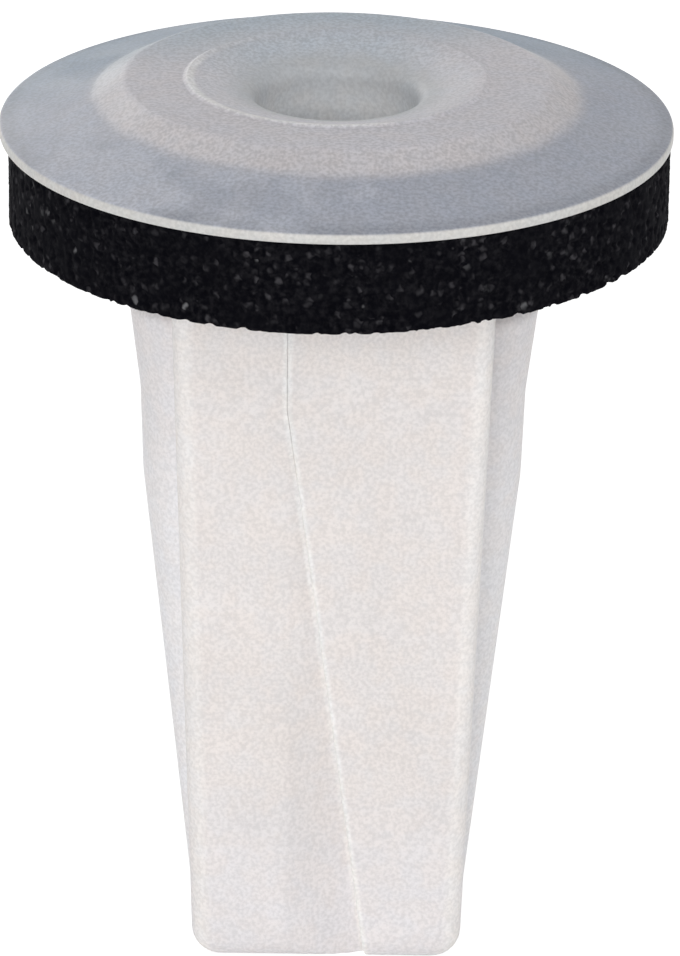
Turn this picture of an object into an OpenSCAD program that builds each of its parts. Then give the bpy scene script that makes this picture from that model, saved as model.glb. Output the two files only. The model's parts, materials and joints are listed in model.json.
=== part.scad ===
// Push-in expansion nut: a moulded nut body with a flanged head and a split, tapered stem,
// and a foam sealing washer round the stem under the head.
// The frame's origin is on the screw axis in the plane of the panel, with +Z towards the head.

/* [Head] */
// Diameter of the flange
head_d = 20; // [17:0.5:26]
// Thickness of the flange at its rim
rim_t = 0.3; // [0.2:0.05:0.8]
// Diameter at the foot of the raised centre
shoulder_d = 14.5; // [13:0.25:16]
// Height of the flange at the foot of the raised centre
shoulder_h = 1.05; // [0.9:0.05:1.3]
// Diameter of the flat land on the raised centre
land_d = 12.6; // [11.6:0.2:12.8]
// Height of the land above the underside of the head
land_h = 1.65; // [1.5:0.05:2.6]
// Diameter of the dish at its lip
dish_d = 8.6; // [7.4:0.2:9.4]
// Depth of the dish from its lip to the mouth of the screw hole
dish_depth = 0.55; // [0.3:0.05:0.9]
// Blend radius of the lip and of the shoulder
lip_r = 0.45; // [0.2:0.05:0.6]

/* [Screw hole] */
// Diameter of the hole for the screw
bore_d = 4.8; // [3.6:0.1:5.4]
// Depth below the panel to which the hole is straight
bore_straight = 5; // [3:0.5:9]
// Diameter of the hole where it opens through the tip
bore_tip_d = 2.8; // [2.6:0.1:3.2]

/* [Stem] */
// Width of the square stem at the panel
stem_w = 9.6; // [8.8:0.1:10.4]
// Width of the stem at its tip
stem_tip_w = 8.2; // [7.6:0.1:8.6]
// Length of the stem below the panel
stem_l = 22.8; // [19:0.2:28]
// Radius on the long edges of the stem at the head
edge_r = 0.55; // [0.3:0.05:0.9]
// Radius on the corners and edges of the tip
tip_r = 0.85; // [0.5:0.05:1.1]

/* [Ribs] */
// Height of each rounded rib above the side of the stem
rib_h = 1.18; // [0.6:0.02:1.4]
// Extra height of the rib's catch, which snaps behind the panel
catch_h = 0.25; // [0.05:0.05:0.4]
// Length over which the catch falls to the height of the rib
catch_l = 2.7; // [1.5:0.1:4]
// Length below the catch over which the rib keeps its height
rib_straight = 2.7; // [1:0.1:5]
// Height of the rib where it runs out at the tip
rib_tip_h = 0.12; // [0.06:0.02:0.2]
// Depth of the rib's axis inside the side of the stem at the tip
rib_axis_in = 0.3; // [0.2:0.05:0.5]
// Thickness of the panel gripped between the washer and the ribs
grip_t = 1.2; // [0.6:0.1:2]

/* [Slots] */
// Width of the slit that lets the two legs spread
slit_w = 0.1; // [0.05:0.05:0.5]
// Offset of the slit's sharp edge from the middle at the panel
slit_x = 1.33; // [0.9:0.05:1.6]
// Offset of the slit's sharp edge from the middle at the tip, on the other side
slit_tip_x = 1.2; // [0.9:0.05:1.3]
// Depth below the panel at which the slit starts to slant
slit_bend = 4.3; // [2.5:0.1:8]
// Depth below the panel at which the slit starts
slit_start = 0.8; // [0.5:0.1:1.5]
// Depth of the sloping channel beside the slit, at the tip
channel_depth = 0.9; // [0.4:0.05:1.2]

/* [Sealing washer] */
// Thickness of the foam washer
washer_t = 2.85; // [1.5:0.05:4]
// Inset of the washer from the rim of the flange
washer_inset = 0.15; // [0.05:0.05:0.8]
// Clearance between the stem and the hole of the washer
washer_gap = 0.15; // [0.1:0.05:0.3]

/* [Hidden] */
$fn = 96;
post_fn = 32;
eps = 0.01;
over_cut = 1;

// Half width of the square stem at height z
function stem_half(z) = stem_w/2 + (stem_w - stem_tip_w)/2*z/stem_l;

// How far the stem runs up inside the head, below the dish
stem_root = (land_h - dish_depth)/3;

// Heights along a rib, from the crest of its catch down to where it runs out
catch_z = -grip_t - rib_h - catch_h;
rib_top_z = catch_z - catch_l;
rib_full_z = rib_top_z - rib_straight;
rib_end_z = -(stem_l - tip_r);
rib_last_z = rib_end_z - tip_r/2;
rib_axis_x = stem_tip_w/2 - rib_axis_in;

// How far a long edge of the stem stands from the axis at the panel
corner_reach = (stem_half(0) - edge_r)*sqrt(2) + edge_r;
rib_reach = stem_half(catch_z) + rib_h + catch_h;
washer_hole_r = max(corner_reach, rib_reach) + washer_gap;
taper = atan((stem_w - stem_tip_w)/2/stem_l);

// Points of an arc of radius r that rounds the corner at b, between the points a and c
function corner_arc(a, b, c, r, n = 6) =
    let(
        u = (a - b)/norm(a - b),
        v = (c - b)/norm(c - b),
        half = acos(u*v)/2,
        centre = b + (u + v)/norm(u + v)*r/sin(half),
        from = b + u*r/tan(half) - centre,
        to = b + v*r/tan(half) - centre,
        a0 = atan2(from[1], from[0]),
        turn = atan2(to[1], to[0]) - a0,
        sweep = turn > 180 ? turn - 360 : turn < -180 ? turn + 360 : turn
    )
    [for (i = [0:n]) centre + r*[cos(a0 + sweep*i/n), sin(a0 + sweep*i/n)]];

// An open path with the corners in list r rounded; a radius of 0 keeps the corner sharp
function rounded_path(p, r) = [
    for (i = [0:len(p) - 1])
        each r[i] > 0 ? corner_arc(p[i - 1], p[i], p[i + 1], r[i]) : [p[i]]
];

// Half section of the head, from the axis round the flange and back over the dish
head_path = [
    [0, 0],
    [head_d/2, 0],
    [head_d/2, rim_t],
    [shoulder_d/2, shoulder_h],
    [land_d/2, land_h],
    [dish_d/2, land_h],
    [bore_d/2, land_h - dish_depth],
    [0, land_h - dish_depth]
];
head_radii = [0, 0, 0, lip_r, lip_r, lip_r, 0, 0];

module head() {
    translate([0, 0, washer_t])
        rotate_extrude()
            polygon(rounded_path(head_path, head_radii));
}

// One rounded post of the stem, from the head to the tip
module stem_post(sx, sy) {
    top = stem_half(washer_t) - edge_r;
    tip = stem_tip_w/2 - tip_r;
    translate([sx*top, sy*top, washer_t])
        cylinder(r = edge_r, h = stem_root, $fn = post_fn);
    translate([sx*tip, sy*tip, -stem_l + tip_r])
        sphere(r = tip_r, $fn = post_fn);
}

module stem_core() {
    hull()
        for (sx = [-1, 1], sy = [-1, 1])
            stem_post(sx, sy);
}

// Outer half width over the ribs at height z, less the place of the rib's axis
function rib_r(z, h) = stem_half(z) + h - rib_axis_x;

// A half-round rib that tapers to the tip, with a catch that rests behind the panel
module rib() {
    root_r = rib_r(-grip_t, 0) + eps;
    translate([rib_axis_x, 0, 0])
        rotate_extrude()
            polygon([
                [0, rib_last_z],
                [rib_tip_h, rib_last_z],
                [rib_r(rib_end_z, rib_tip_h), rib_end_z],
                [rib_r(rib_full_z, rib_h), rib_full_z],
                [rib_r(rib_top_z, rib_h), rib_top_z],
                [rib_r(catch_z, rib_h + catch_h), catch_z],
                [root_r, -grip_t],
                [0, -grip_t]
            ]);
}

// The hole for the screw: straight, then narrowing to the tip
module screw_hole() {
    rotate_extrude()
        polygon([
            [0, washer_t + land_h + over_cut],
            [bore_d/2, washer_t + land_h + over_cut],
            [bore_d/2, -bore_straight],
            [bore_tip_d/2, -stem_l],
            [bore_tip_d/2, -stem_l - over_cut],
            [0, -stem_l - over_cut]
        ]);
}

// Offset of the slit's sharp edge where it passes out of the tip
slit_out_x = slit_tip_x + (slit_x + slit_tip_x)*over_cut/(stem_l - slit_bend);

// The slit in the front of the stem, upright at first and then slanting to the tip
module slit() {
    rotate([90, 0, 0])
        linear_extrude(height = stem_half(washer_t) + over_cut)
            polygon([
                [-slit_x, -slit_start],
                [-slit_x, -slit_bend],
                [slit_out_x, -stem_l - over_cut],
                [slit_out_x - slit_w, -stem_l - over_cut],
                [-slit_x - slit_w, -slit_bend],
                [-slit_x - slit_w, -slit_start]
            ]);
}

// The sloping channel beside the slit, shallow at the long side and deepest at the sharp edge
module channel() {
    left = -slit_x - slit_w;
    width = slit_tip_x - left;
    slope = atan(channel_depth/width);
    intersection() {
        rotate([90, 0, 0])
            linear_extrude(height = stem_w)
                polygon([
                    [left - over_cut, -slit_bend],
                    [-slit_x, -slit_bend],
                    [slit_out_x, -stem_l - over_cut],
                    [left - over_cut, -stem_l - over_cut]
                ]);
        translate([left, -stem_half(0), 0])
            rotate([taper, 0, 0])
                rotate([0, 0, slope])
                    translate([0, -stem_w, -2*stem_l])
                        cube([stem_w, stem_w, 2*stem_l]);
    }
}

module nut_body() {
    color("#e6e3e0")
        difference() {
            union() {
                head();
                stem_core();
                for (turn = [0, 180])
                    rotate([0, 0, turn])
                        rib();
            }
            screw_hole();
            for (turn = [0, 180])
                rotate([0, 0, turn]) {
                    slit();
                    channel();
                }
        }
}

module sealing_washer() {
    color("#16151c")
        difference() {
            cylinder(r = head_d/2 - washer_inset, h = washer_t);
            translate([0, 0, -over_cut])
                cylinder(r = washer_hole_r, h = washer_t + 2*over_cut);
        }
}

nut_body();
sealing_washer();
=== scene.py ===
# Push-in expansion nut: a moulded nylon body with a split stem, and a foam washer under its head.
import json
import math

import bmesh
import bpy
from mathutils import Matrix, Vector

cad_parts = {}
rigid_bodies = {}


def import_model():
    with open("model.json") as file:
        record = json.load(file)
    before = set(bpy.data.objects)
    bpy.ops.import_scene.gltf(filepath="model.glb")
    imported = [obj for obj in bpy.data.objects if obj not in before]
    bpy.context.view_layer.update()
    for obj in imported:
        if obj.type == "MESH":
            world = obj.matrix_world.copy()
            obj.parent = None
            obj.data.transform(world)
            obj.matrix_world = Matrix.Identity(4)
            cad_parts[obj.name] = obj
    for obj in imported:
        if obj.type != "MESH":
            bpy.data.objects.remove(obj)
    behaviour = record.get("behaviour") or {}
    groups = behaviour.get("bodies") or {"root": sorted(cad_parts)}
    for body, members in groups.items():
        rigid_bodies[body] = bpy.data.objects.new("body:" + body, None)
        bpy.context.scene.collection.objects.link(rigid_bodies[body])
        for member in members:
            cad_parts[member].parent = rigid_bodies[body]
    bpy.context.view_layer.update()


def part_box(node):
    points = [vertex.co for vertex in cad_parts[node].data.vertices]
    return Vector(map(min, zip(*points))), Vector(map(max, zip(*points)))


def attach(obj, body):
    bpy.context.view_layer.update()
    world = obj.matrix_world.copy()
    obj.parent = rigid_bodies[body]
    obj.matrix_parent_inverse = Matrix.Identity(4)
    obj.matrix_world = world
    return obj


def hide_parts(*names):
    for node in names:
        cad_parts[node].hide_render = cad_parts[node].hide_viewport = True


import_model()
mm = 0.001
bodyLow, bodyHigh = [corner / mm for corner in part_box("nut_body")]
foamLow, foamHigh = [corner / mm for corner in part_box("sealing_washer")]
bpy.context.scene.view_settings.view_transform = "Standard"
print("frame loaded, the nut is", round(bodyHigh.z - bodyLow.z, 2), "mm tall")


def clamp(value):
    return max(0.0, min(1.0, value))


def lerp(a, b, t):
    return a + (b - a) * t


def spread(a, b, count):  # count values from a to b, both ends included
    return [lerp(a, b, i / (count - 1)) for i in range(count)]


def arc(centre, radius, start, stop, steps):  # angles in radians
    return [(centre[0] + radius * math.cos(a), centre[1] + radius * math.sin(a))
            for a in spread(start, stop, steps + 1)]


# Nodes for any tree: values are set on the sockets, and sockets given as values are linked.
def addNode(tree, kind, inputs=None, **settings):
    made = tree.nodes.new(kind)
    for name, value in settings.items():
        setattr(made, name, value)
    for socket, value in (inputs or {}).items():
        if isinstance(value, bpy.types.NodeSocket):
            tree.links.new(value, made.inputs[socket])
        else:
            made.inputs[socket].default_value = value
    return made


# The moulded body, in millimetres. Heights are above the panel, as in the part's frame.
nut = {
    # the head, from its seat on the foam to its lip and dish
    "seat": foamHigh.z, "rimRadius": bodyHigh.x, "landHeight": bodyHigh.z - foamHigh.z,
    "underRadius": 7.0, "underRound": 0.05, "rimThickness": 0.3, "rimRound": 0.12,
    "shoulderRadius": 7.25, "shoulderHeight": 1.05, "landRadius": 6.3, "lipRound": 0.45,
    "dishRadius": 4.3, "dishDepth": 0.55, "beadHeight": 0.07, "beadWidth": 0.26, "beadRound": 0.06,
    # the screw hole, which narrows to the tip
    "mouthRound": 0.5, "boreRadius": 2.4, "boreTipRadius": 1.4, "boreStraight": -5.0, "boreLead": 0.4,
    # the tapered stem
    "tip": bodyLow.z, "stemHalf": 4.8, "tipHalf": 4.1,
    "edgeRound": 0.55, "tipRound": 0.85, "leastRound": 0.05,
    # the ribs, and their catches behind the panel
    "grip": -1.2, "ribAxis": 3.8, "ribHeight": 1.18, "ribTipHeight": 0.12, "ribStraight": 2.7,
    "catchHeight": 0.25, "catchLength": 2.7, "ribFillet": 0.15, "filletShare": 0.8, "ridgeStep": 0.04,
    # the slits, and the channels beside them
    "slitTop": -0.8, "slitBend": -4.3, "slitX": -1.33, "slitTipX": 1.2, "slitWidth": 0.006,
    "slitClose": 0.08, "slitShut": 0.35, "arrisRound": 0.08, "arrisGrowth": 5.0, "topArris": 0.015,
    "rampArris": 0.015, "rampDepth": 0.9, "rampSoftness": 0.32, "rampShare": 0.45,
    # how finely all of it is divided
    "latheSteps": 192, "roundSteps": 8, "tipSteps": 10, "cornerSteps": 8, "faceSteps": 30, "mouthSteps": 4,
    "ribSteps": 12, "filletSteps": 4, "sideSteps": 6, "wallSteps": 8, "holeSteps": 28, "rootRings": 4,
    "ringSpacing": 0.25, "topSpacing": 0.1, "catchSpacing": 0.06, "catchMargin": 0.3,
    "flatRib": 0.3, "flatFillet": 0.4, "tooSmall": 0.01, "sharpAngle": 42.0,
}


def stemHalf(z):
    return lerp(nut["stemHalf"], nut["tipHalf"], z / nut["tip"])


def slitEdge(z):  # sharp edge of the front slit: upright, then slanting to the other side
    slant = (z - nut["slitBend"]) / (nut["tip"] - nut["slitBend"])
    return lerp(nut["slitX"], nut["slitTipX"], clamp(slant))


def boreRadius(z):
    narrowing = (z - nut["boreStraight"]) / (nut["tip"] - nut["boreStraight"])
    return lerp(nut["boreRadius"], nut["boreTipRadius"], clamp(narrowing))


def ribProfile(z):  # radius of the rib round its own axis, 0 where there is none
    proud = nut["ribHeight"] + nut["catchHeight"]
    crest = nut["grip"] - proud
    top = crest - nut["catchLength"]
    full = top - nut["ribStraight"]
    end = nut["tip"] + nut["tipRound"]
    last = end - nut["tipRound"] / 2
    if z > nut["grip"] or z < last:
        return 0.0
    runOut = nut["ribTipHeight"] + nut["ribAxis"] - stemHalf(last)
    stops = [(nut["grip"], 0), (crest, proud), (top, nut["ribHeight"]), (full, nut["ribHeight"]),
             (end, nut["ribTipHeight"]), (last, runOut)]
    for (above, heightA), (below, heightB) in zip(stops, stops[1:]):
        if z >= below:
            return stemHalf(z) - nut["ribAxis"] + lerp(heightA, heightB, (z - above) / (below - above))


def ribRadius(z):  # the same, with its ridges softened
    near = [ribProfile(z + step * nut["ridgeStep"]) for step in range(-3, 4)]
    return sum(near) / len(near)


def rampDepth(x, z):  # depth of the sloping channel beside the slit, below the front face
    edge = nut["slitX"] - nut["slitWidth"]
    width = slitEdge(z) - nut["slitX"]
    slope = nut["rampDepth"] / (nut["slitTipX"] - edge)
    soft = min(nut["rampSoftness"], nut["rampShare"] * width)  # within the channel where that is narrow
    if soft < nut["tooSmall"] or x < edge - soft:
        return 0.0
    if x > edge + soft:
        return (x - edge) * slope
    return slope * (x - edge + soft) ** 2 / (4 * soft)


# Side face of the stem with its rib, from the middle outwards, as (distance from the axis, place along it).
# It has as many points where there is no rib, so that all rings can be joined.
def ribbedSide(z, out, reach):
    radius = ribRadius(z)
    flat = out - nut["ribAxis"]
    proud = radius - flat
    if proud > nut["tooSmall"] and flat > 0:
        fillet = min(nut["ribFillet"], nut["filletShare"] * proud)
        centre = (flat + fillet, math.sqrt((radius + fillet) ** 2 - (flat + fillet) ** 2))
        turn = math.atan2(centre[1], centre[0])
        points = arc((0, 0), radius, 0, turn, nut["ribSteps"])
        points += arc(centre, fillet, math.pi + turn, math.pi, nut["filletSteps"])[1:]
    else:  # the points of the rib and its fillet lie close together on the flat
        places = spread(0, nut["flatRib"], nut["ribSteps"] + 1)
        places += spread(nut["flatRib"], nut["flatFillet"], nut["filletSteps"] + 1)[1:]
        points = [(flat, y) for y in places]
    points += [(flat, y) for y in spread(points[-1][1], reach, nut["sideSteps"] + 1)[1:-1]]
    return [(nut["ribAxis"] + x, y) for x, y in points]


# One leg at height z: its outside from the front slit round to the back slit, then the walls inside.
# The tip's rounding draws the outside in by the inset.
def legSection(z, inset=0.0, mouthOpen=True):
    half = stemHalf(z)
    out = half - inset
    corner = lerp(nut["edgeRound"], nut["tipRound"], (nut["seat"] - z) / (nut["seat"] - nut["tip"]))
    corner = max(corner - inset, nut["leastRound"])
    arris = lerp(nut["topArris"], nut["arrisRound"], clamp((nut["slitBend"] - z) / nut["arrisGrowth"]))
    rampArris = nut["rampArris"]
    slitX = slitEdge(z) - nut["slitWidth"]
    backX = -slitEdge(z)
    bore = boreRadius(z)

    def front(x):
        return -half + max(inset, rampDepth(x, z))

    faceSteps = nut["faceSteps"]
    mouthSteps = nut["mouthSteps"]
    frontFace = [(x, front(x)) for x in spread(slitX - rampArris, corner - out, faceSteps + 1)[1:-1]]
    backFace = [(x, out) for x in spread(corner - out, backX - arris, faceSteps + 1)[1:-1]]
    if mouthOpen:
        mouthX = slitX - rampArris
        frontMouth = arc((mouthX, front(mouthX) + rampArris), rampArris, 0, -math.pi / 2, mouthSteps)
        backMouth = arc((backX - arris, out - arris), arris, math.pi / 2, 0, mouthSteps)
    else:  # above the slit the mouth is closed, and its points lie along the face
        past = nut["slitShut"] * nut["slitWidth"]  # leaves about a third of the slit between the two halves
        frontMouth = [(x, -out) for x in spread(slitX + past, slitX - rampArris, mouthSteps + 1)]
        backMouth = [(x, out) for x in spread(backX - arris, backX + past, mouthSteps + 1)]
    side = ribbedSide(z, out, out - corner)
    outer = frontMouth + frontFace
    outer += arc((corner - out, corner - out), corner, -math.pi / 2, -math.pi, nut["cornerSteps"])
    outer += [(-x, -y) for x, y in reversed(side)] + [(-x, y) for x, y in side[1:]]
    outer += arc((corner - out, out - corner), corner, math.pi, math.pi / 2, nut["cornerSteps"])
    outer += backFace + backMouth

    backY = math.sqrt(bore ** 2 - backX ** 2)
    frontY = -math.sqrt(bore ** 2 - slitX ** 2)
    backWall = [(backX, y) for y in spread(backMouth[-1][1], backY, nut["wallSteps"] + 1)[1:-1]]
    frontWall = [(slitX, y) for y in spread(frontY, frontMouth[0][1], nut["wallSteps"] + 1)[1:-1]]
    turn = (math.atan2(backY, backX), math.atan2(frontY, slitX) + math.tau)
    hole = arc((0, 0), bore, *turn, nut["holeSteps"])
    return outer, backWall, hole, frontWall


def roundPath(points):  # points are (radius, height, rounding); gives the path with its corners rounded
    path = []
    for i, (x, y, r) in enumerate(points):
        if r == 0:
            path.append(Vector((x, y)))
            continue
        here = Vector((x, y))
        before = (Vector(points[i - 1][:2]) - here).normalized()
        after = (Vector(points[i + 1][:2]) - here).normalized()
        half = before.angle(after) / 2
        centre = here + (before + after).normalized() * r / math.sin(half)
        start = here + before * r / math.tan(half) - centre
        sweep = -start.angle_signed(here + after * r / math.tan(half) - centre)
        steps = nut["roundSteps"]
        path += [centre + Matrix.Rotation(sweep * step / steps, 2) @ start for step in range(steps + 1)]
    return path


def resample(path, longest):  # breaks long straight stretches up, so that shading stays even
    points = [path[0]]
    for here in path[1:]:
        pieces = max(1, math.ceil((here - points[-1]).length / longest))
        start = points[-1].copy()
        points += [start.lerp(here, (step + 1) / pieces) for step in range(pieces)]
    return points


def headPath():  # from the underside round the rim, over the dish and down the hole
    seat = nut["seat"]
    rim = nut["rimRadius"]
    top = seat + nut["landHeight"]
    land = top - nut["beadHeight"]
    lip = nut["dishRadius"]
    return resample(roundPath([
        (nut["underRadius"], seat, 0), (rim, seat, nut["underRound"]),
        (rim, seat + nut["rimThickness"], nut["rimRound"]),
        (nut["shoulderRadius"], seat + nut["shoulderHeight"], nut["lipRound"]),
        (nut["landRadius"], land, nut["lipRound"]), (lip + nut["beadWidth"], land, nut["beadRound"]),
        (lip + nut["beadWidth"] / 2, top, nut["beadRound"]),
        (nut["boreRadius"], top - nut["dishDepth"], nut["mouthRound"]),
        (nut["boreRadius"], nut["slitTop"] + nut["boreLead"], 0)]), nut["ringSpacing"])


def skin(mesh, ringA, ringB):  # quads between two closed rings of as many points
    for i in range(len(ringA)):
        mesh.faces.new((ringA[i - 1], ringA[i], ringB[i], ringB[i - 1]))


def zipRings(mesh, ringA, ringB):  # triangles between two closed rings round the axis
    def angle(vert):
        return math.atan2(vert.co.y, vert.co.x) % math.tau

    a, b = sorted(ringA, key=angle), sorted(ringB, key=angle)
    angleA = [angle(v) for v in a] + [angle(a[0]) + math.tau]
    angleB = [angle(v) for v in b] + [angle(b[0]) + math.tau]
    i = j = 0
    while i < len(a) or j < len(b):
        here = (a[i % len(a)], b[j % len(b)])
        if j == len(b) or (i < len(a) and angleA[i + 1] <= angleB[j + 1]):
            i += 1
            mesh.faces.new((*here, a[i % len(a)]))
        else:
            j += 1
            mesh.faces.new((*here, b[j % len(b)]))


def ringHeights():  # heights of the leg's sections and how far the tip's rounding has drawn each in
    roundStart = nut["tip"] + nut["tipRound"]
    crest = nut["grip"] - nut["ribHeight"] - nut["catchHeight"]
    stops = [nut["slitTop"], nut["grip"], crest - nut["catchMargin"], roundStart]
    spacings = [nut["topSpacing"], nut["catchSpacing"], nut["ringSpacing"]]
    heights = [(nut["slitTop"], 0.0)]
    for start, stop, spacing in zip(stops, stops[1:], spacings):
        steps = math.ceil((start - stop) / spacing)
        heights += [(z, 0.0) for z in spread(start, stop, steps + 1)[1:]]
    for turn in spread(0, math.pi / 2, nut["tipSteps"] + 1)[1:]:
        inset = nut["tipRound"] * (1 - math.cos(turn))
        heights.append((roundStart - nut["tipRound"] * math.sin(turn), inset))
    return heights


def buildBody():
    mesh = bmesh.new()

    def addRing(points, z, side=1):  # side -1 turns the points half way round the axis
        return [mesh.verts.new((side * x * mm, side * y * mm, z * mm)) for x, y in points]

    legTops = []
    for side in (1, -1):
        rings = []
        for z, inset in ringHeights():
            outer, backWall, hole, frontWall = legSection(z, inset)
            rings.append([addRing(part, z, side) for part in (outer, backWall, hole, frontWall)])
        whole = [sum(ring, []) for ring in rings]
        for above, below in zip(whole, whole[1:]):
            skin(mesh, above, below)
        mesh.faces.new(whole[-1])
        legTops.append(rings[0])

    # The root joins the two legs above the slits.
    for left, right in (legTops, legTops[::-1]):
        near = [left[2][-1]] + left[3] + [left[0][0]]
        far = [right[2][0]] + right[1][::-1] + [right[0][-1]]
        for i in range(1, len(near)):
            mesh.faces.new((near[i - 1], near[i], far[i], far[i - 1]))
    ring = legTops[0][0] + legTops[1][0]
    for z in [nut["slitTop"] + nut["slitClose"]] + spread(0, nut["seat"], nut["rootRings"]):
        points = legSection(z, mouthOpen=False)[0]
        above = addRing(points, z) + addRing(points, z, -1)
        skin(mesh, ring, above)
        ring = above

    # The head is turned round the axis.
    angles = [math.tau * step / nut["latheSteps"] for step in range(nut["latheSteps"])]
    turned = []
    for x, z in headPath():
        turned.append(addRing([(x * math.cos(a), x * math.sin(a)) for a in angles], z))
    for a, b in zip(turned, turned[1:]):
        skin(mesh, a, b)
    zipRings(mesh, ring, turned[0])
    zipRings(mesh, turned[-1], legTops[0][2] + legTops[1][2])

    bmesh.ops.recalc_face_normals(mesh, faces=mesh.faces)
    openEdges = sum(not edge.is_manifold for edge in mesh.edges)
    data = bpy.data.meshes.new("nutBody")
    mesh.to_mesh(data)
    mesh.free()
    data.shade_smooth()
    data.set_sharp_from_angle(angle=math.radians(nut["sharpAngle"]))
    body = bpy.data.objects.new("nutBody", data)
    bpy.context.collection.objects.link(body)
    print("nut body:", len(data.polygons), "faces,", openEdges, "open edges")
    return body


# The foam washer, in millimetres
washer = {
    "outerRadius": foamHigh.x, "holeRadius": 6.71, "thickness": foamHigh.z - foamLow.z, "edgeRound": 0.08,
    "edgeSteps": 6, "ringSteps": 700, "sectionSteps": 124,
    # its grain, and the pores that the cut opened
    "grainSize": 0.2, "grainDepth": 0.05,
    "poreSize": 0.3, "poreDepth": 0.1, "poreRim": 0.55, "poreFloor": 0.1,
    # its uneven lower face, which rises to the right, and its place to the side of the axis
    "waveSize": 4.0, "unevenness": 0.03, "rightLift": 0.2, "liftStart": -0.4, "liftEnd": 1.2,
    "sideways": 0.1, "seed": 4.0,
}


def addMath(tree, operation, *values):
    return addNode(tree, "ShaderNodeMath", dict(enumerate(values)), operation=operation).outputs[0]


def addVector(tree, operation, *values):
    made = addNode(tree, "ShaderNodeVectorMath", dict(enumerate(values)), operation=operation)
    return made.outputs["Value" if operation in ("LENGTH", "DOT_PRODUCT") else "Vector"]


def addScale(tree, vector, factor):
    made = addNode(tree, "ShaderNodeVectorMath", {0: vector, "Scale": factor}, operation="SCALE")
    return made.outputs["Vector"]


def addXyz(tree, x=0.0, y=0.0, z=0.0):
    return addNode(tree, "ShaderNodeCombineXYZ", {"X": x, "Y": y, "Z": z}).outputs["Vector"]


def addFade(tree, value, start, stop, low=0.0, high=1.0, kind="SMOOTHSTEP"):  # step from low to high
    ends = {"Value": value, "From Min": start, "From Max": stop, "To Min": low, "To Max": high}
    return addNode(tree, "ShaderNodeMapRange", ends, interpolation_type=kind).outputs["Result"]


# Ring with a rounded section. Grains and cut-open pores roughen its surface, only ever inwards.
def foamTree(material):
    tree = bpy.data.node_groups.new("foamRing", "GeometryNodeTree")
    sockets = {}
    for name in washer:
        kind = "NodeSocketInt" if name.endswith("Steps") else "NodeSocketFloat"
        socket = tree.interface.new_socket(name=name, in_out="INPUT", socket_type=kind)
        sockets[name] = socket.identifier
    tree.interface.new_socket(name="Geometry", in_out="OUTPUT", socket_type="NodeSocketGeometry")
    given = tree.nodes.new("NodeGroupInput").outputs

    wall = addMath(tree, "SUBTRACT", given["outerRadius"], given["holeRadius"])
    middle = addMath(tree, "SUBTRACT", given["outerRadius"], addMath(tree, "MULTIPLY", wall, 0.5))
    square = addNode(tree, "GeometryNodeCurvePrimitiveQuadrilateral",
                     {"Width": wall, "Height": given["thickness"]})
    rounded = addNode(tree, "GeometryNodeFilletCurve", {
        "Curve": square.outputs[0], "Radius": given["edgeRound"], "Count": given["edgeSteps"]}, mode="POLY")
    section = addNode(tree, "GeometryNodeResampleCurve",
                      {"Curve": rounded.outputs[0], "Count": given["sectionSteps"]})
    path = addNode(tree, "GeometryNodeCurvePrimitiveCircle",
                   {"Radius": middle, "Resolution": given["ringSteps"]})
    ring = addNode(tree, "GeometryNodeCurveToMesh",
                   {"Curve": path.outputs[0], "Profile Curve": section.outputs[0]})

    place = tree.nodes.new("GeometryNodeInputPosition").outputs[0]
    outwards = tree.nodes.new("GeometryNodeInputNormal").outputs[0]
    shifted = addVector(tree, "ADD", place, addXyz(tree, given["seed"], given["seed"]))

    def noise(kind, size, **detail):  # a pattern whose features have this size
        vector = addScale(tree, shifted, addMath(tree, "DIVIDE", 1.0, size))
        return addNode(tree, kind, {"Vector": vector, "Scale": 1.0, **detail}).outputs

    grain = noise("ShaderNodeTexNoise", given["grainSize"], Detail=3.0)[0]
    pores = noise("ShaderNodeTexVoronoi", given["poreSize"])["Distance"]
    pit = addFade(tree, pores, given["poreRim"], given["poreFloor"])
    dig = addMath(tree, "ADD", addMath(tree, "MULTIPLY", grain, given["grainDepth"]),
                  addMath(tree, "MULTIPLY", pit, given["poreDepth"]))
    inwards = addScale(tree, outwards, addMath(tree, "MULTIPLY", dig, -1.0))

    # The lower face is cut unevenly and rises to the right. The loose ring sits a little to one side.
    xyz = addNode(tree, "ShaderNodeSeparateXYZ", {"Vector": place}).outputs
    wave = noise("ShaderNodeTexNoise", given["waveSize"], Detail=1.0)[0]
    right = addMath(tree, "DIVIDE", xyz["X"], given["outerRadius"])
    right = addFade(tree, right, given["liftStart"], given["liftEnd"])
    lift = addMath(tree, "ADD", addMath(tree, "MULTIPLY", wave, given["unevenness"]),
                   addMath(tree, "MULTIPLY", right, given["rightLift"]))
    lowness = addMath(tree, "SUBTRACT", 0.5, addMath(tree, "DIVIDE", xyz["Z"], given["thickness"]))
    upwards = addXyz(tree, z=addMath(tree, "MULTIPLY", lift, lowness))
    offset = addVector(tree, "ADD", inwards, upwards)
    centre = addXyz(tree, x=given["sideways"], z=addMath(tree, "MULTIPLY", given["thickness"], 0.5))

    rough = addNode(tree, "GeometryNodeSetPosition", {"Geometry": ring.outputs[0], "Offset": offset})
    raised = addNode(tree, "GeometryNodeTransform", {"Geometry": rough.outputs[0], "Translation": centre})
    metres = addNode(tree, "GeometryNodeTransform", {"Geometry": raised.outputs[0], "Scale": (mm, mm, mm)})
    smooth = addNode(tree, "GeometryNodeSetShadeSmooth", {"Geometry": metres.outputs[0]})
    real = addNode(tree, "GeometryNodeRealizeInstances", {"Geometry": smooth.outputs[0]})
    painted = addNode(tree, "GeometryNodeSetMaterial", {"Geometry": real.outputs[0], "Material": material})
    addNode(tree, "NodeGroupOutput", {"Geometry": painted.outputs[0]})
    return tree, sockets


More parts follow.
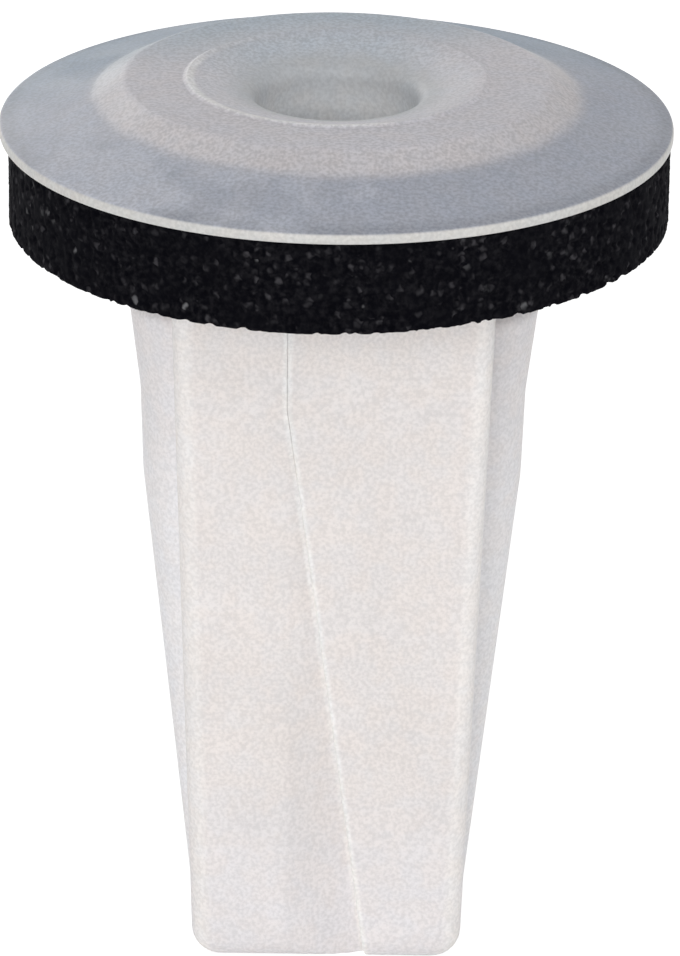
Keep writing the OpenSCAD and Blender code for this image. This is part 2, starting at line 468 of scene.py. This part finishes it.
def buildWasher(material):
    maker = bpy.data.objects.new("washerMaker", bpy.data.meshes.new("washerMaker"))
    bpy.context.collection.objects.link(maker)
    modifier = maker.modifiers.new("foamRing", "NODES")
    tree, sockets = foamTree(material)
    modifier.node_group = tree
    for name, value in washer.items():
        modifier[sockets[name]] = value
    data = bpy.data.meshes.new_from_object(maker.evaluated_get(bpy.context.evaluated_depsgraph_get()))
    data.name = "washerFoam"
    bpy.data.objects.remove(maker)
    foam = bpy.data.objects.new("washerFoam", data)
    bpy.context.collection.objects.link(foam)
    print("foam washer:", len(data.polygons), "faces")
    return foam


# Shared effect: fine irregular grain, as a height for Bump and a mottle for colour and roughness
def grainGroup():
    group = bpy.data.node_groups.new("fineGrain", "ShaderNodeTree")
    group.interface.new_socket(name="Vector", in_out="INPUT", socket_type="NodeSocketVector")
    group.interface.new_socket(name="Size", in_out="INPUT", socket_type="NodeSocketFloat")
    group.interface.new_socket(name="Patch", in_out="INPUT", socket_type="NodeSocketFloat")
    group.interface.new_socket(name="Height", in_out="OUTPUT", socket_type="NodeSocketFloat")
    group.interface.new_socket(name="Mottle", in_out="OUTPUT", socket_type="NodeSocketFloat")
    given = group.nodes.new("NodeGroupInput").outputs
    fine = addNode(group, "ShaderNodeTexNoise", {
        "Vector": given["Vector"], "Scale": addMath(group, "DIVIDE", 1.0, given["Size"]), "Detail": 2.0})
    broad = addNode(group, "ShaderNodeTexNoise", {
        "Vector": given["Vector"], "Scale": addMath(group, "DIVIDE", 1.0, given["Patch"]), "Detail": 3.0})
    addNode(group, "NodeGroupOutput", {"Height": fine.outputs[0], "Mottle": broad.outputs[0]})
    return group


def startMaterial(name):
    material = bpy.data.materials.new(name)
    material.use_nodes = True
    tree = material.node_tree
    tree.nodes.clear()
    surface = tree.nodes.new("ShaderNodeBsdfPrincipled")
    addNode(tree, "ShaderNodeOutputMaterial", {"Surface": surface.outputs[0]})
    place = tree.nodes.new("ShaderNodeTexCoord").outputs["Object"]
    return material, tree, surface, addScale(tree, place, 1 / mm)


def addGrain(tree, group, inMm, size, patch):
    inputs = {"Vector": inMm, "Size": size, "Patch": patch}
    return addNode(tree, "ShaderNodeGroup", inputs, node_tree=group).outputs


def addMix(tree, share, a, b, blend="MIX"):
    made = tree.nodes.new("ShaderNodeMix")
    made.data_type = "RGBA"
    made.blend_type = blend
    for socket, value in ((made.inputs[0], share), (made.inputs[6], a), (made.inputs[7], b)):
        if isinstance(value, bpy.types.NodeSocket):
            tree.links.new(value, socket)
        else:
            socket.default_value = (*value, 1) if isinstance(value, tuple) else value
    return made.outputs[2]


# Natural nylon: milky where it is thick, and greyed where the black foam lies close under it. Its head is
# also painted darker as painted shade on its top faces, and painted highlights, light and shade lie on its
# edges, lip, channels and hole.
nylonLook = {
    # colours of the stem, with painted highlights along its slits' arris and its rounded long edges, and
    # factors for painted shade on the shallow side and painted light on the deep side of its channels
    "stem": (0.885, 0.83, 0.82), "tip": (0.875, 0.835, 0.85), "arris": (0.985, 0.95, 0.94),
    "side": (0.865, 0.825, 0.84), "sideLow": (0.95, 0.925, 0.945), "edge": (0.965, 0.92, 0.91),
    "channelShallow": 0.957, "channelDeep": 1.035,
    # colours of the head and of the screw hole; the head's tones are darker than the stem's, partly where
    # the black foam shows through and partly as painted shade on its top faces
    "land": (0.695, 0.668, 0.712), "dish": (0.722, 0.706, 0.752),
    # the lip's tone is a painted highlight
    "lip": (0.90, 0.88, 0.89), "lipOffset": 0.05,
    # the pale shoulder and flange tones are painted light on the head's front left
    "shoulder": (0.65, 0.618, 0.643), "shoulderLit": (0.715, 0.68, 0.705),
    "flange": (0.447, 0.465, 0.541), "flangeEdge": (0.365, 0.38, 0.44), "flangeLit": (0.56, 0.575, 0.65),
    # the mouth is painted darker as painted shade round the hole, and the hole paler as painted light in the
    # shaded bore
    "rim": (0.68, 0.665, 0.65), "mouth": (0.55, 0.56, 0.585), "hole": (0.95, 0.95, 0.97),
    # its front left painted lighter as painted light, and its back painted darker and cooler as painted
    # shade
    "frontLeft": (-0.75, -0.65, 0.0), "patchWeight": 2.0,
    "back": (0.7, 0.815, 0.87), "backwards": (-0.2, 0.98, 0.0), "backShift": 0.2, "backInDish": 0.6,
    # grain, mottle and tint
    "grainSize": 0.11, "grainHeight": 0.01, "grainStrength": 0.35, "speckle": 0.14, "headSpeckle": 0.24,
    "patchSize": 2.4, "mottle": 0.04, "tintSize": 0.8, "tint": 0.018,
    # the plastic itself
    "roughness": (0.47, 0.6), "refraction": 1.53,
    "milkiness": 0.2, "scatterColour": (1.0, 0.92, 0.85), "scatterDepth": 0.6,
    "bands": {  # where each tone begins and where it is full, in millimetres from the place it belongs to
        "head": (-0.6, 0.1), "shoulder": (-0.1, 0.25), "flange": (-0.3, 0.35), "flangeEdge": (-0.7, -0.2),
        "rim": (-0.06, -0.005), "dish": (0.0, -0.4), "lip": (0.2, 0.05), "mouth": (1.3, 0.1),
        "hole": (0.0, -1.3), "bore": (0.15, 0.05), "aroundDish": (0.0, 1.7), "arris": (0.2, 0.06),
        "slitTop": (0.3, 0.0), "tip": (8.0, 1.0), "side": (-0.05, 0.05), "sideLow": (-1.0, -13.0),
        "edge": (0.7, 0.35), "channelSide": (-0.1, 0.3), "channelEdge": (-0.02, 0.05),
        "channelLow": (-9.5, -12.5), "channelDeep": (1.5, 0.3),
        # and these in shares, round the axis or in a pattern
        "shoulderLit": (0.8, 1.0), "flangeLit": (1.6, 2.05), "lipPatch": (0.7, 1.7), "back": (0.2, 0.9),
        "speck": (0.7, 0.3), "mottle": (0.3, 0.7), "warm": (0.35, 0.65), "cool": (0.65, 0.35),
    },
}


def nylonMaterial(group):
    look = nylonLook
    material, tree, surface, inMm = startMaterial("nylonNatural")
    x, y, z = addNode(tree, "ShaderNodeSeparateXYZ", {"Vector": inMm}).outputs
    aside = addXyz(tree, x, y)
    radius = addVector(tree, "LENGTH", aside)
    grain = addGrain(tree, group, inMm, look["grainSize"], look["patchSize"])

    def band(name, value, place=0.0, low=0.0, high=1.0):
        begin, full = look["bands"][name]
        return addFade(tree, value, place + begin, place + full, low, high)

    def times(a, b):
        return addMath(tree, "MULTIPLY", a, b)

    def towards(direction):  # about 1 on this side of the axis, and -1 on the other
        return addMath(tree, "DIVIDE", addVector(tree, "DOT_PRODUCT", aside, direction), radius)

    inHead = band("head", z, nut["seat"])
    onShoulder = band("shoulder", radius, nut["landRadius"])
    onFlange = band("flange", radius, nut["shoulderRadius"])
    onRim = band("rim", radius, nut["rimRadius"])
    inHole = band("mouth", radius, nut["boreRadius"])

    # Painted light and shade: the head's front left is painted lighter, in patches on the flange, and its
    # back is painted darker and cooler.
    frontLeft = towards(look["frontLeft"])
    uneven = addMath(tree, "MULTIPLY_ADD", grain["Mottle"], look["patchWeight"], frontLeft)
    shoulder = addMix(tree, band("shoulderLit", frontLeft), look["shoulder"], look["shoulderLit"])
    head = addMix(tree, onShoulder, look["land"], shoulder)
    head = addMix(tree, onFlange, head, look["flange"])
    head = addMix(tree, band("flangeEdge", radius, nut["rimRadius"]), head, look["flangeEdge"])
    head = addMix(tree, times(onFlange, band("flangeLit", uneven)), head, look["flangeLit"])
    head = addMix(tree, band("dish", radius, nut["dishRadius"]), head, look["dish"])
    back = addMath(tree, "MULTIPLY_ADD", onShoulder, look["backShift"], towards(look["backwards"]))
    aroundDish = band("aroundDish", radius, nut["dishRadius"], look["backInDish"])
    head = addMix(tree, times(band("back", back), aroundDish), head, look["back"], "MULTIPLY")
    head = addMix(tree, onRim, head, look["rim"])
    # The mouth of the hole is painted darker as painted shade, and the hole below it paler as painted light
    # in the shaded bore.
    mouth = nut["seat"] + nut["landHeight"] - nut["dishDepth"]
    head = addMix(tree, inHole, head, addMix(tree, band("hole", z, mouth), look["mouth"], look["hole"]))
    # A painted highlight runs along the dish's lip, strongest at the front left.
    fromLip = addMath(tree, "SUBTRACT", radius, nut["dishRadius"] + look["lipOffset"])
    lipHighlight = times(band("lip", addMath(tree, "ABSOLUTE", fromLip)), band("lipPatch", uneven))
    head = addMix(tree, lipHighlight, head, look["lip"])

    # A painted highlight runs along the edge of each of the stem's two slits. The back one is the front one
    # turned round the axis.
    facing = addMath(tree, "SIGN", times(y, -1.0))
    turned = times(x, facing)
    edge = addFade(tree, z, nut["slitBend"], nut["tip"], nut["slitX"], nut["slitTipX"], "LINEAR")
    fromSlit = addMath(tree, "ABSOLUTE", addMath(tree, "SUBTRACT", turned, edge))
    arrisHighlight = times(band("arris", fromSlit), band("slitTop", z, nut["slitTop"]))
    stem = addMix(tree, band("tip", z, nut["tip"]), look["stem"], look["tip"])

    # Its sides, with their ribs, turn paler towards the tip, and its rounded long edges carry a painted
    # highlight throughout.
    half = addFade(tree, z, 0.0, nut["tip"], nut["stemHalf"], nut["tipHalf"], "LINEAR")
    acrossX = addMath(tree, "ABSOLUTE", x)
    acrossY = addMath(tree, "ABSOLUTE", y)
    proud = addMath(tree, "SUBTRACT", acrossX, half)
    side = addMix(tree, band("sideLow", z), look["side"], look["sideLow"])
    stem = addMix(tree, band("side", proud), stem, side)
    toEdge = addMath(tree, "SUBTRACT", half, addMath(tree, "MINIMUM", acrossX, acrossY))
    stem = addMix(tree, band("edge", toEdge), stem, look["edge"])

    # In its lower half the channel beside each slit is painted darker on its shallow side as painted shade,
    # and turns paler as it deepens, as painted light against the shadow by the slit's wall.
    fromEdge = addMath(tree, "SUBTRACT", edge, turned)
    inChannel = times(band("channelSide", turned, nut["slitX"]), band("channelEdge", fromEdge))
    inChannel = times(inChannel, band("channelLow", z))
    tone = band("channelDeep", fromEdge, 0.0, look["channelShallow"], look["channelDeep"])
    stem = addMix(tree, inChannel, stem, tone, "MULTIPLY")
    # the painted highlight along each slit's edge
    stem = addMix(tree, arrisHighlight, stem, look["arris"])
    # the bore is painted paler, as painted light in its shade
    stem = addMix(tree, band("bore", radius, nut["boreRadius"]), stem, look["hole"])
    colour = addMix(tree, inHead, stem, head)

    # Specks are stronger on the head, but not on its rim or round its hole. Patches turn warmer or cooler.
    plain = addMath(tree, "MAXIMUM", onRim, inHole)
    specked = times(inHead, addMath(tree, "SUBTRACT", 1.0, plain))
    depth = addFade(tree, specked, 0.0, 1.0, look["speckle"], look["headSpeckle"], "LINEAR")
    dark = times(depth, band("speck", grain["Height"]))
    mottle = band("mottle", grain["Mottle"], 0.0, 1 - look["mottle"])
    shade = times(mottle, addMath(tree, "SUBTRACT", 1.0, dark))
    tint = addGrain(tree, group, inMm, look["tintSize"], look["patchSize"])["Height"]
    red = times(shade, band("warm", tint, 0.0, 1 - look["tint"]))
    blue = times(shade, band("cool", tint, 0.0, 1 - look["tint"]))
    shade = addNode(tree, "ShaderNodeCombineColor", {"Red": red, "Green": shade, "Blue": blue}).outputs[0]
    tree.links.new(addMix(tree, 1.0, colour, shade, "MULTIPLY"), surface.inputs["Base Color"])
    tree.links.new(band("mottle", grain["Mottle"], 0.0, *look["roughness"]), surface.inputs["Roughness"])
    bump = addNode(tree, "ShaderNodeBump", {"Height": grain["Height"], "Strength": look["grainStrength"],
                                            "Distance": look["grainHeight"] * mm})
    tree.links.new(bump.outputs[0], surface.inputs["Normal"])
    surface.inputs["IOR"].default_value = look["refraction"]
    surface.inputs["Subsurface Weight"].default_value = look["milkiness"]
    surface.inputs["Subsurface Radius"].default_value = look["scatterColour"]
    surface.inputs["Subsurface Scale"].default_value = look["scatterDepth"] * mm
    return material


# Black cellular foam: its torn cell walls carry painted glints between the dark pores
foamLook = {
    # the wall and glint tones are painted glints on the torn cell walls
    "pore": (0.002, 0.002, 0.0035), "wall": (0.062, 0.0595, 0.066), "glint": (0.14, 0.14, 0.147),
    "wallSize": 0.17, "wallShare": 0.3, "cellSize": 0.29, "cellBend": 0.2,
    "patchSize": 2.2, "patchShare": 0.45,
    "bumpHeight": 0.05, "bumpStrength": 0.8, "roughness": (0.75, 0.95), "gloss": 0.03,
    "bands": {  # where each pattern begins and where it is full
        "cell": (0.55, 0.05), "walls": (0.35, 0.95), "bright": (0.15, 1.1), "glints": (0.95, 1.0),
        "patches": (0.35, 0.65), "mottle": (0.3, 0.7),
    },
}


def foamMaterial(group):
    look = foamLook
    material, tree, surface, inMm = startMaterial("foamBlack")

    def band(name, value, low=0.0, high=1.0):
        return addFade(tree, value, *look["bands"][name], low, high)

    grain = addGrain(tree, group, inMm, look["wallSize"], look["patchSize"])
    bend = addNode(tree, "ShaderNodeTexNoise", {
        "Vector": inMm, "Scale": 1 / look["wallSize"], "Detail": 0.0})
    bent = addVector(tree, "MULTIPLY_ADD", bend.outputs["Color"], (look["cellBend"],) * 3, inMm)
    cells = addNode(tree, "ShaderNodeTexVoronoi", {"Vector": bent, "Scale": 1 / look["cellSize"]})
    chance = addNode(tree, "ShaderNodeSeparateColor", {"Color": cells.outputs["Color"]}).outputs
    # Painted glints: the cell walls and some cells are painted lighter, and a few cells brighter still.
    spot = band("cell", cells.outputs["Distance"])
    walls = band("walls", grain["Height"], 0.0, look["wallShare"])
    bright = addMath(tree, "MULTIPLY", spot, band("bright", chance["Red"]))
    lit = addMath(tree, "MULTIPLY", addMath(tree, "MAXIMUM", walls, bright),
                  band("patches", grain["Mottle"], look["patchShare"]))
    glint = addMath(tree, "MULTIPLY", spot, band("glints", chance["Green"]))
    colour = addMix(tree, lit, look["pore"], look["wall"])
    colour = addMix(tree, glint, colour, look["glint"])
    tree.links.new(colour, surface.inputs["Base Color"])
    bump = addNode(tree, "ShaderNodeBump", {"Height": lit, "Strength": look["bumpStrength"],
                                            "Distance": look["bumpHeight"] * mm})
    tree.links.new(bump.outputs[0], surface.inputs["Normal"])
    tree.links.new(band("mottle", grain["Mottle"], *look["roughness"]), surface.inputs["Roughness"])
    surface.inputs["Specular IOR Level"].default_value = look["gloss"]
    return material


# The floor and the light, in millimetres and degrees
studio = {
    "floorSize": 1600.0, "floorColour": (0.9, 0.9, 0.9), "floorLift": 0.6, "ambient": 0.44,
    "aim": (0, 0, -8),
    "lamps": [
        {"name": "keyLamp", "turn": -14.0, "rise": 15.0, "distance": 420.0, "size": 200.0, "power": 0.46},
        {"name": "fillLamp", "turn": 75.0, "rise": 18.0, "distance": 460.0, "size": 300.0, "power": 0.2},
        {"name": "backLamp", "turn": -152.0, "rise": 16.0, "distance": 400.0, "size": 240.0, "power": 0.22},
    ],
}


def buildStudio():
    half = studio["floorSize"] / 2
    data = bpy.data.meshes.new("floor")
    data.from_pydata([(x * half * mm, y * half * mm, nut["tip"] * mm)
                      for x, y in ((-1, -1), (1, -1), (1, 1), (-1, 1))], [], [(0, 1, 2, 3)])
    floor = bpy.data.objects.new("floor", data)
    bpy.context.collection.objects.link(floor)

    material = bpy.data.materials.new("paleFloor")
    material.use_nodes = True
    tree = material.node_tree
    tree.nodes.clear()
    matt = addNode(tree, "ShaderNodeBsdfDiffuse", {"Color": (*studio["floorColour"], 1)})
    glow = addNode(tree, "ShaderNodeEmission", {"Color": (1, 1, 1, 1), "Strength": studio["floorLift"]})
    both = addNode(tree, "ShaderNodeAddShader", {0: matt.outputs[0], 1: glow.outputs[0]})
    rays = tree.nodes.new("ShaderNodeLightPath").outputs
    seen = addMath(tree, "MAXIMUM", rays["Is Camera Ray"], rays["Is Glossy Ray"])
    final = addNode(tree, "ShaderNodeMixShader", {0: seen, 1: matt.outputs[0], 2: both.outputs[0]})
    addNode(tree, "ShaderNodeOutputMaterial", {"Surface": final.outputs[0]})
    data.materials.append(material)

    world = bpy.data.worlds.new("studio")
    bpy.context.scene.world = world
    world.use_nodes = True
    tree = world.node_tree
    tree.nodes.clear()
    rays = tree.nodes.new("ShaderNodeLightPath").outputs
    seen = addMath(tree, "MAXIMUM", rays["Is Camera Ray"], rays["Is Glossy Ray"])
    strength = addFade(tree, seen, 0.0, 1.0, studio["ambient"], 1.0)
    sky = addNode(tree, "ShaderNodeBackground", {"Color": (1, 1, 1, 1), "Strength": strength})
    addNode(tree, "ShaderNodeOutputWorld", {"Surface": sky.outputs[0]})

    aim = Vector(studio["aim"])
    for lamp in studio["lamps"]:
        turn, rise = math.radians(lamp["turn"]), math.radians(lamp["rise"])
        way = Vector((math.sin(turn) * math.cos(rise), -math.cos(turn) * math.cos(rise), math.sin(rise)))
        light = bpy.data.lights.new(lamp["name"], "AREA")
        light.size = lamp["size"] * mm
        light.energy = lamp["power"] * (math.pi * lamp["distance"] * mm) ** 2
        hung = bpy.data.objects.new(lamp["name"], light)
        place = Matrix.Translation((aim + way * lamp["distance"]) * mm)
        hung.matrix_world = place @ way.to_track_quat("Z", "Y").to_matrix().to_4x4()
        bpy.context.collection.objects.link(hung)


# Where the photograph was taken from: millimetres, degrees, and the focal length in its 680 pixels
view = {"sideways": 0.247, "back": 168.49, "height": 61.31, "pitch": 22.468, "roll": 0.76,
        "focal": 6000.0, "width": 680.0, "sensor": 36.0, "nearest": 10.0}


def buildCamera():
    lens = bpy.data.cameras.new("camera")
    lens.sensor_fit = "HORIZONTAL"
    lens.sensor_width = view["sensor"]
    lens.lens = view["focal"] * view["sensor"] / view["width"]
    lens.clip_start = view["nearest"] * mm
    camera = bpy.data.objects.new("camera", lens)
    camera.matrix_world = (
        Matrix.Translation(Vector((view["sideways"], -view["back"], view["height"])) * mm)
        @ Matrix.Rotation(math.radians(90 - view["pitch"]), 4, "X")
        @ Matrix.Rotation(math.radians(view["roll"]), 4, "Z"))
    bpy.context.collection.objects.link(camera)
    bpy.context.scene.camera = camera


grain = grainGroup()
body = buildBody()
body.data.materials.append(nylonMaterial(grain))
foam = buildWasher(foamMaterial(grain))
for piece, node, slot in ((body, "nut_body", "nylon"), (foam, "sealing_washer", "foam")):
    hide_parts(node)
    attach(piece, "root")
print("both pieces dressed, and riding on the root body")
buildStudio()
buildCamera()
print("floor, lamps and camera placed")
